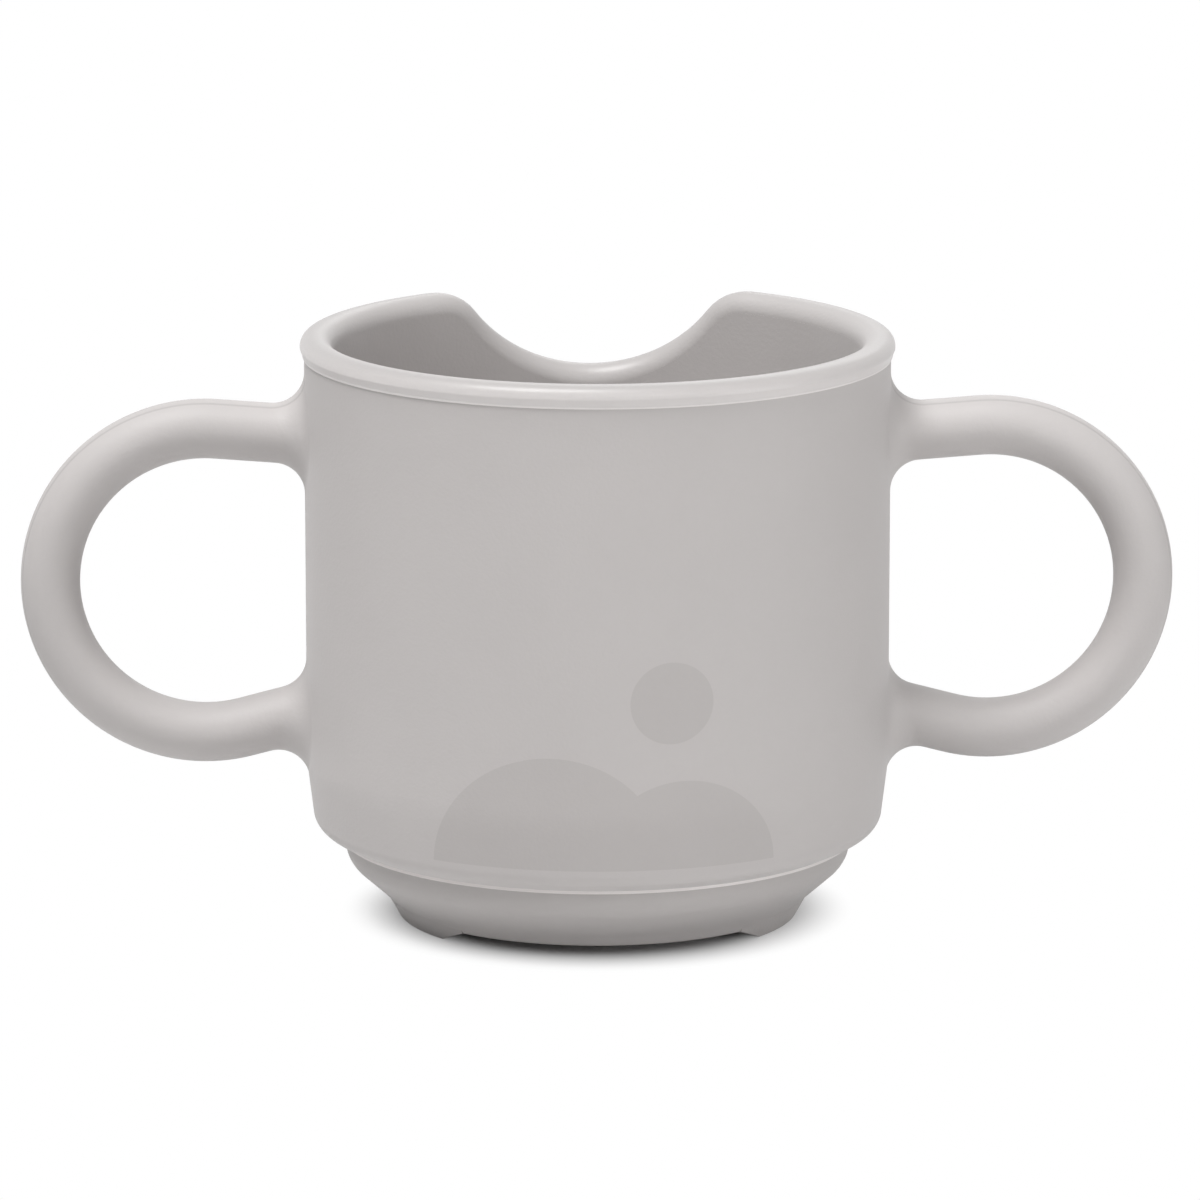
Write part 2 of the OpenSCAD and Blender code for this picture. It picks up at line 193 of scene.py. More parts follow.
class CupRim(PropertyGroup):
    """Sizes of the rim bead and the nose cut-out."""

    rim_top: length("Height of the top of the rim", RIM_HIGH.z)
    rim_radius: length("Outer radius of the rim", RIM_HIGH.x)
    bead_radius: length("Half the width of the bead", 2.05 * MM)
    bead_height: length("Height of the bead", 2.75 * MM)
    crown_height: length("Height of the rounded upper part of the outer side", 1.6 * MM)
    inner_crown: length("Height of the rounded upper part of the inner side", 2.4 * MM)
    taper: length("How far the outer side of the bead draws in towards its lower edge", 0.42 * MM)
    lip_height: length("Height of the thin lip along the lower edge of the bead", 0.2 * MM)
    lip_proud: length("How far that lip stands out", 0.05 * MM)
    # Painted light and shade on the bead: its crown painted darker towards the outside, its outer side, lip
    # and inner side painted lighter
    top_shade: share("How much darker the crown of the bead gets towards the outside", 0.3)
    band_light: share("How much lighter the outer side of the bead is", 0.26)
    lip_light: share("How much lighter still that lip is", 0.16)
    bore_light: share("How much lighter the inner side of the bead is", 0.093)
    cut_depth: length("Depth of the nose cut-out below the rim", 10.25 * MM)
    cut_radius: length("Radius of the bottom of the cut-out", 18 * MM)
    shoulder_radius: length("Radius of the shoulders beside the cut-out", 6.6 * MM)
    dip_reach: share("Height over which the cut-out draws the walls down, in depths of it", 2.5)
    seat: length("How far the walls reach up into the bead", 0.8 * MM)
    steps: whole("Stations along the bead", 360, 24)


class CupHandles(PropertyGroup):
    """Sizes of the handles."""

    grip_x: length("Distance of the middle of the ring from the axis", GRIP_HIGH.x - 22.75 * MM)
    grip_z: length("Height of the middle of the ring", 41.85 * MM)
    grip_radius: length("Radius of the ring to the middle of its bar", 19.1 * MM)
    bar_thick: length("Thickness of the bar seen from the front", 7.3 * MM)
    bar_deep: length("Depth of the bar from front to back", 8 * MM)
    upper_fall: angle("Fall of the upper arm towards the wall", 4.3)
    lower_rise: angle("Rise of the lower arm towards the wall", 14.5)
    root_radius: length("Radius of the fillet at the wall", 3.9 * MM)
    root_lean: share("How far below its middle a fillet meets the wall, in its radii", 0.1)
    root_sink: length("How far the roots sink into the wall", 0.8 * MM)
    seam_angle: angle("Place of the mould seam, from the outer side to the front", 22)
    seam_width: share("Half the width of that seam, as a share of the way around the bar", 0.014)


class CupBase(PropertyGroup):
    """Sizes of the base and the feet."""

    band_radius: length("Radius of the upright band at the top of the base", BASE_HIGH.x)
    band_top: length("Height of the top of the band", SLEEVE_LOW.z)
    band_height: length("Height of the band", 2.5 * MM)
    band_bend: length("Radius of the bend under the band", 3.6 * MM)
    turn_radius: length("Radius at which the base turns down to the feet", 26.35 * MM)
    turn_height: length("Height at which the base turns down to the feet", 2.9 * MM)
    turn_bend: length("Radius of that hollow turn", 3.7 * MM)
    sole_radius: length("Radius of the flat sole", FOOT_HIGH.x)
    sole_height: length("Height of the sole above the table", BASE_LOW.z + 0.2 * MM)
    neck_radius: length("Outer radius of the neck inside the sleeve", 30.85 * MM)
    neck_top: length("Height of the top of the neck", BASE_HIGH.z)
    pocket_radius: length("Radius of the pocket that holds the inner cup", 29.15 * MM)
    pocket_low: length("Radius of the floor of that pocket", 24.65 * MM)
    pocket_height: length("Height of the floor of that pocket", 3.6 * MM)
    edge_bend: length("Radius of the small edges of the base", 0.15 * MM)
    foot_inset: length("How far the lower edge of a foot lies inside the sole", 0.85 * MM)
    foot_width: length("Width of a foot across its arc", 4.2 * MM)
    foot_lap: length("How far the face of a foot reaches up over the base", 0.8 * MM)
    foot_proud: length("How far that face stands out from the base", 0.015 * MM)
    foot_sink: length("How far the ends of a foot sink into the base", 0.14 * MM)
    foot_round: length("Radius of the lower edge of a foot", 0.3 * MM)
    foot_flat: angle("Half angle of the flat of a foot", 38)
    foot_ramp: angle("Angle over which the ends of a foot rise", 10.5)


class CupInlays(PropertyGroup):
    """Sizes of the hills and the sun on the front."""

    hill_radius: length("Radius of the large hill", HILLS_HIGH.z - HILLS_LOW.z)
    knoll_radius: length("Radius of the small hill", 11 * MM)
    left_end: length("Place of the left end of the hills", HILLS_LOW.x)
    right_end: length("Place of the right end of the hills", HILLS_HIGH.x)
    hills_foot: length("Height of the lower end of the hills", HILLS_LOW.z)
    sun_radius: length("Radius of the sun", (SUN_HIGH.x - SUN_LOW.x) / 2)
    sun_x: length("Place of the middle of the sun", (SUN_HIGH.x + SUN_LOW.x) / 2)
    sun_z: length("Height of the middle of the sun", (SUN_HIGH.z + SUN_LOW.z) / 2)
    thick: length("Thickness of the inlays", 0.5 * MM)
    proud: length("How far the inlays stand out from the wall", 0.012 * MM)


class CupFinish(PropertyGroup):
    """Colours and gloss of the silicone, some painted lighter or darker as painted light and shade."""

    wall_colour: colour("Silicone of the wall and the handles", (0.480, 0.457, 0.450))
    # The inner cup is painted lighter than the wall, painted light inside the cup
    inside_colour: colour("Silicone of the inner cup", (0.530, 0.506, 0.498))
    rim_colour: colour("Silicone of the rim", (0.485, 0.463, 0.456))
    # The base and the feet are painted darker than the wall, painted shade on their downward faces
    base_colour: colour("Silicone of the base and the feet", (0.435, 0.414, 0.407))
    inlay_colour: colour("Silicone of the inlays", (0.437, 0.414, 0.407))
    matte: share("Roughness of the matte silicone", 0.56)
    satin: share("Roughness of the rim and the inside", 0.42)
    coat: share("Weight of the fine gloss on the rim and the inside", 0.1)
    coat_roughness: share("Roughness of that gloss", 0.15)
    mottle: share("Strength of the soft colour changes", 0.05)
    grain: share("Strength of the fine grain of the surface", 0.10)
    grain_depth: length("Depth of that grain", 0.3 * MM)
    ior: share("Index of refraction", 1.43)
    sheen: share("Weight of the soft sheen", 0.08)
    sheen_roughness: share("Roughness of the soft sheen", 0.4)
    # The seams' darker line is painted shade along their ridge
    seam_shade: share("How much darker the mould seams of the handles are", 0.17)
    seam_height: share("Height of the mould seams, in depths of the grain", 2.0)
    # The sleeve's thin lip is painted lighter, a painted highlight along its edge
    lip_light: share("How much lighter the thin lip of the sleeve is", 0.42)
    lip_fade: length("Height over which that light fades", 0.1 * MM)


class CupStage(PropertyGroup):
    """Floor, light and camera."""

    floor_radius: length("Radius of the pale floor", 3.0)
    floor_colour: colour("Colour of the floor", (0.76, 0.76, 0.76))
    clear_from: length("Distance from the axis where the floor starts to clear to white", 0.021)
    clear_to: length("Distance from the axis where the floor is plain white", 0.032)
    sky: share("Strength of the even light from all around", 0.27)
    top_power: share("Power of the soft light above, in watts", 15.0)
    front_power: share("Power of the soft light in front, in watts", 0.46)
    side_power: share("Power of the soft light at the right, in watts", 0.75)
    back_power: share("Power of the soft light behind, in watts", 1.2)
    lens: share("Focal length of the camera in millimetres", 242.96)
    distance: length("Distance of the camera from its target", 1.0)
    target_x: length("Place that the camera looks at", 0.30 * MM)
    target_z: length("Height that the camera looks at", 39.13 * MM)
    azimuth: angle("Turn of the camera around the cup", -1.493)
    elevation: angle("Height of the camera as an angle", 12.154)


# Lines, rings and meshes


def beside(a, b, c, distance):
    """Corner b of the line a, b, c when the line moves to its right by a distance."""
    along = (b - a).normalized()
    onward = (c - b).normalized()
    first = Vector((along.y, -along.x))
    second = Vector((onward.y, -onward.x))
    return b + (first + second) * (distance / (1 + first.dot(second)))


def bend(a, b, c, radius, steps):
    """Points of the arc that rounds the corner b between a and c."""
    back = (a - b).normalized()
    onward = (c - b).normalized()
    half = back.angle(onward) / 2
    middle = b + (back + onward).normalized() * (radius / math.sin(half))
    start = b + back * (radius / math.tan(half)) - middle
    end = b + onward * (radius / math.tan(half)) - middle
    return [middle + radius * start.slerp(end, i / steps) for i in range(steps + 1)]


def straight(a, b, steps):
    """Points from a to b, without b."""
    return [a.lerp(b, i / steps) for i in range(steps)]


def new_piece(name, points, faces):
    """Object with a closed, smooth mesh whose faces point outwards."""
    mesh = bpy.data.meshes.new(name)
    mesh.from_pydata([tuple(p) for p in points], [], faces)
    return settle(bpy.data.objects.new(name, mesh))


def settle(piece):
    """Links a piece to the scene, closes its seams and smooths it between its edges."""
    work = bmesh.new()
    work.from_mesh(piece.data)
    bmesh.ops.remove_doubles(work, verts=work.verts, dist=MERGE_DISTANCE)
    bmesh.ops.recalc_face_normals(work, faces=work.faces)
    work.to_mesh(piece.data)
    work.free()
    piece.data.shade_smooth()
    piece.data.set_sharp_from_angle(angle=SHARP_ANGLE)
    if piece.name not in bpy.context.scene.collection.objects:
        bpy.context.scene.collection.objects.link(piece)
    return piece


def ring_faces(count, sides, loop_rings, loop_sides):
    """Quads between neighbouring rings of points."""
    faces = []
    for i in range(count if loop_rings else count - 1):
        for k in range(sides if loop_sides else sides - 1):
            j = (i + 1) % count
            n = (k + 1) % sides
            faces.append((i * sides + k, i * sides + n, j * sides + n, j * sides + k))
    return faces


def tube(name, rings):
    """Piece from closed rings in a row, with a cap at both ends."""
    sides = len(rings[0])
    tail = (len(rings) - 1) * sides
    faces = ring_faces(len(rings), sides, False, True)
    faces.append(tuple(range(sides)))
    faces.append(tuple(range(tail, tail + sides)))
    return new_piece(name, [p for ring in rings for p in ring], faces)


def finish_piece(piece, node, material):
    """Gives a piece its material and puts it in the place of its solid."""
    piece.data.materials.clear()
    piece.data.materials.append(material)
    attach(piece, BODY)
    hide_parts(node)


# Walls and the nose cut-out


def cut_height(rim, x, depth):
    """Height of an edge along the nose cut-out at x, lowered by a depth."""
    total = rim.cut_radius + rim.shoulder_radius
    reach = math.sqrt(total ** 2 - (total - rim.cut_depth) ** 2)
    hollow = rim.cut_radius + depth
    shoulder = rim.shoulder_radius - depth
    if abs(x) >= reach:
        return rim.rim_top - depth
    if abs(x) > hollow * reach / total:
        return rim.rim_top - rim.shoulder_radius + math.sqrt(shoulder ** 2 - (abs(x) - reach) ** 2)
    return rim.rim_top - rim.cut_depth + rim.cut_radius - math.sqrt(hollow ** 2 - x ** 2)


def turned(name, section, walls, rim, closed):
    """Piece from a section turned around the axis, whose upper part is drawn down along the cut-out."""
    points = []
    top = walls.wall_top + rim.seat
    low = walls.wall_top - rim.dip_reach * rim.cut_depth
    depth = rim.rim_top - top
    for i in range(COLUMNS):
        turn = 2 * math.pi * i / COLUMNS
        dip = 0
        if math.cos(turn) > 0:
            dip = top - cut_height(rim, (rim.rim_radius - rim.bead_radius) * math.sin(turn), depth)
        for radius, z in section:
            sunk = z - dip * max(z - low, 0) / (top - low)
            points.append((radius * math.sin(turn), radius * math.cos(turn), sunk))
    return new_piece(name, points, ring_faces(COLUMNS, len(section), True, closed))


def sleeve_face(walls, inset):
    """Outer face of the sleeve moved inward, from the top down, as radius and height."""
    heel = walls.edge_height + walls.heel_rise
    a = Vector((walls.wall_radius, walls.wall_top))
    b = Vector((walls.wall_radius, heel + walls.lean_rise))
    c = Vector((walls.wall_radius - walls.heel_inset, heel))
    d = Vector((walls.lip_radius - walls.lip_flare, walls.edge_height + walls.lip_height))
    top = a - Vector((inset, 0))
    lean = beside(a, b, c, inset)
    corner = beside(b, c, d, inset)
    end = corner + d - c
    lean_arc = bend(top, lean, corner, walls.lean_radius - inset, LEAN_STEPS)
    heel_arc = bend(lean, corner, end, max(walls.heel_radius - inset, walls.least_bend), BEND_STEPS)
    return straight(top, lean_arc[0], WALL_STEPS) + lean_arc + heel_arc


def sleeve_section(walls, rim):
    """Closed section of the outer sleeve with the thin lip at its lower edge."""
    outer = sleeve_face(walls, 0)
    inner = sleeve_face(walls, walls.sleeve_thick)
    outer[0] = outer[0] + Vector((0, rim.seat))
    inner[0] = inner[0] + Vector((0, rim.seat))
    lip_top = Vector((walls.lip_radius - walls.lip_flare, walls.edge_height + walls.lip_height))
    lip_out = Vector((walls.lip_radius, walls.edge_height + walls.lip_widest * walls.lip_height))
    lip_low = Vector((lip_top.x, walls.edge_height))
    mouth = Vector((walls.mouth_radius, walls.edge_height))
    mouth_top = Vector((walls.mouth_radius, mouth.y + walls.mouth_rise * walls.sleeve_thick))
    lip = bend(outer[-1], lip_top, lip_out, walls.lip_top_bend, LIP_TOP_STEPS)
    lip += bend(lip_top, lip_out, lip_low, walls.lip_edge_bend, LIP_EDGE_STEPS)
    return outer + lip + [lip_low, mouth, mouth_top] + inner[::-1]


def liner_section(walls, rim):
    """Section of the inner cup from the middle of its underside to the middle of its floor."""
    gap = walls.wall_radius - walls.liner_radius
    bore = rim.rim_radius - 2 * rim.bead_radius - walls.liner_proud
    outer = sleeve_face(walls, gap)
    outer[0] = outer[0] + Vector((0, rim.seat))
    wall_low = Vector((bore, walls.edge_height + walls.heel_rise + walls.lean_rise))
    ledge_out = Vector((bore - walls.heel_inset, walls.ledge_height))
    ledge_in = Vector((walls.bowl_radius, walls.ledge_height))
    floor_out = Vector((walls.floor_radius, walls.floor_height))
    floor_mid = Vector((0, walls.floor_height))
    top = Vector((bore, walls.wall_top))
    wall_end = wall_low + Vector((0, walls.wall_stop))
    floor_start = floor_out - Vector((walls.floor_margin, 0))
    inside = [Vector((bore, rim.rim_top - rim.inner_crown))]
    inside += straight(top, wall_end, WALL_STEPS)
    inside += bend(top, wall_low, ledge_out, walls.ledge_bend, EDGE_STEPS)
    inside += bend(wall_low, ledge_out, ledge_in, walls.ledge_bend, BEND_STEPS)
    inside += bend(ledge_out, ledge_in, floor_out, walls.bowl_bend, BEND_STEPS)
    inside += bend(ledge_in, floor_out, floor_mid, walls.floor_bend, BEND_STEPS)
    inside += straight(floor_start, floor_mid, FLOOR_STEPS) + [floor_mid]
    bowl = walls.bowl_radius + walls.liner_thick
    under = walls.ledge_height - walls.liner_thick
    outside = [
        Vector((0, walls.liner_low)),
        Vector((walls.floor_radius, walls.liner_low)),
        Vector((bowl, under - walls.bowl_side)),
        Vector((bowl, under)),
        Vector((outer[-1].x - walls.ledge_margin, under))]
    return outside + outer[::-1] + inside


# Node trees


class Field:
    """A number in a node tree, which plain arithmetic turns into nodes."""

    def __init__(self, tree, socket):
        self.tree = tree
        self.socket = socket

    def step(self, operation, second=0.0):
        """Result of one step of arithmetic that starts with this number."""
        return reckon(self.tree, operation, self, second)

    def __add__(self, other):
        return self.step("ADD", other)

    def __sub__(self, other):
        return self.step("SUBTRACT", other)

    def __rsub__(self, other):
        return reckon(self.tree, "SUBTRACT", other, self)

    def __mul__(self, other):
        return self.step("MULTIPLY", other)

    def __truediv__(self, other):
        return self.step("DIVIDE", other)

    def __pow__(self, other):
        return self.step("POWER", other)

    def __lt__(self, other):
        return self.step("LESS_THAN", other)

    def __gt__(self, other):
        return self.step("GREATER_THAN", other)

    def __abs__(self):
        return self.step("ABSOLUTE")


def add(tree, kind, links, **settings):
    """New node with its settings, whose inputs are linked or set."""
    node = tree.nodes.new(kind)
    for key, value in settings.items():
        setattr(node, key, value)
    for key, value in links.items():
        source = value.socket if isinstance(value, Field) else value
        if isinstance(source, bpy.types.NodeSocket):
            tree.links.new(source, node.inputs[key])
        else:
            node.inputs[key].default_value = source
    return node


def reckon(tree, operation, first, second):
    """Result of one step of arithmetic in a node tree."""
    node = add(tree, "ShaderNodeMath", {0: first, 1: second}, operation=operation)
    return Field(tree, node.outputs[0])


def fields(tree, sockets):
    """Outputs of a node by their names, as numbers."""
    return {socket.name: Field(tree, socket) for socket in sockets}


def pick(test, yes, no):
    """One of two numbers in a geometry tree."""
    choice = {"Switch": test, "True": yes, "False": no}
    node = add(test.tree, "GeometryNodeSwitch", choice, input_type="FLOAT")
    return Field(test.tree, node.outputs[0])


def other_side(longest, side):
    """Third side of a right-angled triangle, from its longest side and another one."""
    return (longest ** 2.0 - side ** 2.0).step("SQRT")


def parts(tree, vector):
    """X, Y and Z of a vector in a node tree."""
    return fields(tree, add(tree, "ShaderNodeSeparateXYZ", {0: vector}).outputs)


def point_place(tree):
    """X, Y and Z of each point in a geometry tree."""
    return parts(tree, tree.nodes.new("GeometryNodeInputPosition").outputs[0])


def moved(tree, geometry, place):
    """Geometry with its points moved to a place, given as X, Y and Z."""
    spot = add(tree, "ShaderNodeCombineXYZ", place).outputs[0]
    return add(tree, "GeometryNodeSetPosition", {"Geometry": geometry, "Position": spot}).outputs[0]


def circle(tree, steps, radius):
    """Circle around the middle in a geometry tree."""
    return add(tree, "GeometryNodeCurvePrimitiveCircle", {"Resolution": steps, "Radius": radius}).outputs[0]


def swept(tree, path, profile):
    """Mesh of a profile that follows a path and stays upright."""
    upright = add(tree, "GeometryNodeSetCurveNormal", {"Curve": path}, mode="Z_UP").outputs[0]
    return add(tree, "GeometryNodeCurveToMesh", {"Curve": upright, "Profile Curve": profile}).outputs[0]


def new_sockets(tree, way, kind, labels):
    """Named inputs or outputs of a node tree."""
    kind = f"NodeSocket{kind}"
    return [tree.interface.new_socket(label, in_out=way, socket_type=kind) for label in labels]


def new_shape_tree(name, lengths, shares=()):
    """Geometry tree with a named length for each size, plain shares, a number of steps and a material."""
    tree = bpy.data.node_groups.new(name, "GeometryNodeTree")
    for socket in new_sockets(tree, "INPUT", "Float", lengths):
        socket.subtype = "DISTANCE"
    new_sockets(tree, "INPUT", "Float", shares)
    new_sockets(tree, "INPUT", "Int", ["Steps"])
    new_sockets(tree, "INPUT", "Material", ["Material"])
    new_sockets(tree, "OUTPUT", "Geometry", ["Geometry"])
    return tree, fields(tree, tree.nodes.new("NodeGroupInput").outputs)


def end_shape_tree(tree, geometry, material):
    """Ends a geometry tree in a plain mesh with its material."""
    real = add(tree, "GeometryNodeRealizeInstances", {"Geometry": geometry})
    painted = add(tree, "GeometryNodeSetMaterial", {"Geometry": real.outputs[0], "Material": material})
    add(tree, "NodeGroupOutput", {"Geometry": painted.outputs[0]})


def rim_tree():
    """Bead that follows the rim and dips along the nose cut-out."""
    tree, size = new_shape_tree(
        "Rim bead",
        ["Rim Top", "Path Radius", "Bead Radius", "Bead Height", "Crown Height", "Inner Crown", "Taper",
         "Lip Height", "Lip Proud", "Cut Depth", "Cut Radius", "Shoulder Radius"],
        ["Top Shade", "Band Light", "Lip Light", "Bore Light"])
    total = size["Cut Radius"] + size["Shoulder Radius"]
    reach = other_side(total, total - size["Cut Depth"])
    hollow = size["Cut Radius"] + size["Bead Radius"]
    shoulder = size["Shoulder Radius"] - size["Bead Radius"]
    place = point_place(tree)
    across = abs(place["X"])
    on_shoulder = size["Rim Top"] - size["Shoulder Radius"] + other_side(shoulder, across - reach)
    in_hollow = size["Rim Top"] - size["Cut Depth"] + size["Cut Radius"] - other_side(hollow, across)
    dip = pick(across < hollow * reach / total, in_hollow, on_shoulder)
    in_cut = (across < reach) * (place["Y"] > 0.0)
    place["Z"] = pick(in_cut, dip, size["Rim Top"] - size["Bead Radius"])
    path = moved(tree, circle(tree, size["Steps"], size["Path Radius"]), place)
    end_shape_tree(tree, swept(tree, path, bead_profile(tree, size)), size["Material"])
    return tree


def bead_profile(tree, size):
    """Section of the bead: round on the inner side, with an outer side that tapers to a thin lip."""
    place = point_place(tree)
    across = abs(place["X"])
    outside = place["X"] > 0.0
    above = place["Y"].step("MAXIMUM", 0.0)
    below = (place["Y"] * -1.0).step("MAXIMUM", 0.0)
    # Way down the side, from 0 at the widest place to 1 at the lower edge
    way = (below / SIDE_SINE).step("MINIMUM", 1.0)
    crown_height = pick(outside, size["Crown Height"], size["Inner Crown"])
    fall = size["Bead Height"] - crown_height
    lip = ((1.0 - way) * fall < size["Lip Height"]) * outside
    tapered = size["Bead Radius"] - size["Taper"] * way + size["Lip Proud"] * lip
    reach = pick(outside, tapered, size["Bead Radius"])
    # The upper half is a rounded crown, and the side under it ends in a flat lower face
    power = pick(outside, CROWN_POWER, 1.0)
    flat = (across / math.sqrt(1 - SIDE_SINE ** 2)).step("MINIMUM", 1.0)
    spread = pick(below > 0.0, flat, across ** power)
    sideways = place["X"].step("SIGN") * (reach * spread)
    crown = crown_height * above ** power
    up = size["Bead Radius"] - crown_height + crown - fall * way
    # Painted light and shade of the bead around its section, which its material reads: the crown painted
    # darker towards the outside, the sides and the lip painted lighter
    side_painted_light = (1.0 - above) * pick(outside, size["Band Light"], size["Bore Light"])
    outward = (place["X"] + 1.0) * 0.5
    top_shade = above * outward * size["Top Shade"]
    shade = side_painted_light - top_shade + 1.0 + lip * size["Lip Light"]
    shaded = add(
        tree, "GeometryNodeStoreNamedAttribute",
        {"Geometry": circle(tree, PROFILE_POINTS, 1.0), "Name": RIM_PAINTED_LIGHT_AND_SHADE, "Value": shade},
        data_type="FLOAT", domain="POINT")
    return moved(tree, shaded.outputs[0], {"X": sideways, "Y": up * -1.0})


def base_tree(corners):
    """Base turned around the axis from a line of named corners with a bend at each."""
    labels = [f"{corner} {part}" for corner in corners for part in ("Radius", "Height", "Bend")]
    tree, size = new_shape_tree("Base", labels)
    line = add(tree, "GeometryNodeMeshLine", {"Count": len(corners)})
    curve = add(tree, "GeometryNodeMeshToCurve", {"Mesh": line.outputs[0]})
    index = tree.nodes.new("GeometryNodeInputIndex").outputs[0]
    spots = tree.nodes.new("GeometryNodeIndexSwitch")
    spots.data_type = "VECTOR"
    bends = tree.nodes.new("GeometryNodeIndexSwitch")
    bends.data_type = "FLOAT"
    for switch in (spots, bends):
        while len(switch.index_switch_items) < len(corners):
            switch.index_switch_items.new()
        tree.links.new(index, switch.inputs["Index"])
    for i, corner in enumerate(corners):
        down = size[f"{corner} Height"] * -1.0
        spot = add(tree, "ShaderNodeCombineXYZ", {"X": size[f"{corner} Radius"], "Y": down})
        tree.links.new(spot.outputs[0], spots.inputs[str(i)])
        tree.links.new(size[f"{corner} Bend"].socket, bends.inputs[str(i)])
    # The path is a small circle, and the section moves in by its radius
    outline = add(
        tree, "GeometryNodeSetPosition",
        {"Geometry": curve.outputs[0], "Position": spots.outputs[0], "Offset": (-MM, 0.0, 0.0)})
    rounded = add(
        tree, "GeometryNodeFilletCurve",
        {"Curve": outline.outputs[0], "Radius": bends.outputs[0], "Count": EDGE_STEPS,
         "Limit Radius": True},
        mode="POLY")
    path = circle(tree, size["Steps"], MM)
    end_shape_tree(tree, swept(tree, path, rounded.outputs[0]), size["Material"])
    return tree


def grow(name, tree, values):
    """Object whose plain mesh comes from a geometry tree with these values."""
    piece = bpy.data.objects.new(name, bpy.data.meshes.new(name))
    bpy.context.scene.collection.objects.link(piece)
    modifier = piece.modifiers.new("Shape", "NODES")
    modifier.node_group = tree
    for item in tree.interface.items_tree:
        if item.in_out == "INPUT":
            modifier[item.identifier] = values[item.name]
    made = piece.evaluated_get(bpy.context.evaluated_depsgraph_get())
    mesh = bpy.data.meshes.new_from_object(made)
    piece.modifiers.remove(modifier)
    piece.data = mesh
    if not mesh.polygons:
        raise RuntimeError(f"{name} came out empty")
    return settle(piece)


# Materials


def empty_tree(owner):
    """Cleared node tree of a material or a world."""
    owner.use_nodes = True
    owner.node_tree.nodes.clear()
    return owner.node_tree


def piece_place(tree):
    """Place on the piece, in its own coordinates."""
    return tree.nodes.new("ShaderNodeTexCoord").outputs["Object"]


def fade(tree, value, start, end):
    """1 up to a start, falling softly to 0 at an end."""
    ends = {"Value": value, "From Min": start, "From Max": end, "To Min": 1.0, "To Max": 0.0}
    node = add(tree, "ShaderNodeMapRange", ends, interpolation_type="SMOOTHSTEP")
    return Field(tree, node.outputs[0])


def silicone_group():
    """Soft mottling and fine moulded grain of silicone, from the place on the piece."""
    name = "Silicone skin"
    if name in bpy.data.node_groups:
        return bpy.data.node_groups[name]
    tree = bpy.data.node_groups.new(name, "ShaderNodeTree")
    new_sockets(tree, "INPUT", "Color", ["Colour"])
    new_sockets(tree, "INPUT", "Float", ["Mottling", "Gloss"])
    new_sockets(tree, "OUTPUT", "Color", ["Colour"])
    new_sockets(tree, "OUTPUT", "Float", ["Roughness", "Height"])
    given = fields(tree, tree.nodes.new("NodeGroupInput").outputs)
    place = piece_place(tree)
    cloud = add(
        tree, "ShaderNodeTexNoise",
        {"Vector": place, "Scale": CLOUD_SCALE, "Detail": CLOUD_DETAIL, "Roughness": CLOUD_ROUGHNESS})
    grain = add(
        tree, "ShaderNodeTexNoise", {"Vector": place, "Scale": GRAIN_SCALE, "Detail": GRAIN_DETAIL})
    height = Field(tree, grain.outputs["Fac"])
    speck = height - NOISE_MIDDLE
    tone = Field(tree, cloud.outputs["Fac"]) - NOISE_MIDDLE
    shade = tone * given["Mottling"] + 1.0 + speck * (given["Mottling"] * GRAIN_TINT)
    rough = given["Gloss"] + speck * GRAIN_GLOSS + tone * CLOUD_GLOSS
    skin = scaled(tree, given["Colour"], shade)
    add(tree, "NodeGroupOutput", {"Colour": skin, "Roughness": rough, "Height": height})
    return tree


def scaled(tree, colour_value, factor):
    """A colour times a factor."""
    return add(
        tree, "ShaderNodeVectorMath", {0: colour_value, "Scale": factor}, operation="SCALE").outputs[0]


def silicone(name, shade, gloss, finish, seam=None, lip=None, painted_light_map=None, coat=0.0):
    """Silicone with its colour and gloss, and a seam with painted shade, a lip with a painted highlight or
    a map of painted light and shade where the piece has one.
    """
    if name in bpy.data.materials:
        return bpy.data.materials[name]
    material = bpy.data.materials.new(name)
    tree = empty_tree(material)
    skin = add(
        tree, "ShaderNodeGroup", {"Colour": shade, "Mottling": finish.mottle, "Gloss": gloss},
        node_tree=silicone_group())
    height = Field(tree, skin.outputs["Height"])
    tint = None
    if seam is not None:
        # A darker line along the handles' mould seam: painted shade of the seam's ridge, beside its bump
        ridge = seam_mask(tree, *seam)
        height = height + ridge * finish.seam_height
        tint = 1.0 - ridge * finish.seam_shade
    # A lighter band on the sleeve's thin lip: a painted highlight
    if lip is not None:
        tint = lip_mask(tree, lip, finish.lip_fade) * finish.lip_light + 1.0
    # The rim's map of painted light and shade: a darker painted crown, lighter painted sides and lip
    if painted_light_map is not None:
        tint = add(tree, "ShaderNodeAttribute", {}, attribute_name=painted_light_map).outputs["Fac"]
    if tint is not None:
        tree.links.new(scaled(tree, shade[:3], tint), skin.inputs["Colour"])
    bump = add(
        tree, "ShaderNodeBump",
        {"Height": height, "Strength": finish.grain, "Distance": finish.grain_depth})
    surface = add(
        tree, "ShaderNodeBsdfPrincipled",
        {"Base Color": skin.outputs["Colour"], "Roughness": skin.outputs["Roughness"],
         "Normal": bump.outputs[0], "IOR": finish.ior, "Sheen Weight": finish.sheen,
         "Sheen Roughness": finish.sheen_roughness, "Coat Weight": coat,
         "Coat Roughness": finish.coat_roughness})
    add(tree, "ShaderNodeOutputMaterial", {"Surface": surface.outputs[0]})
    return material


def lip_mask(tree, top, soft):
    """Where the lip's painted highlight goes: 1 below the height of the lip's upper edge, 0 a soft edge
    above it.
    """
    return fade(tree, parts(tree, piece_place(tree))["Z"], top, top + soft)


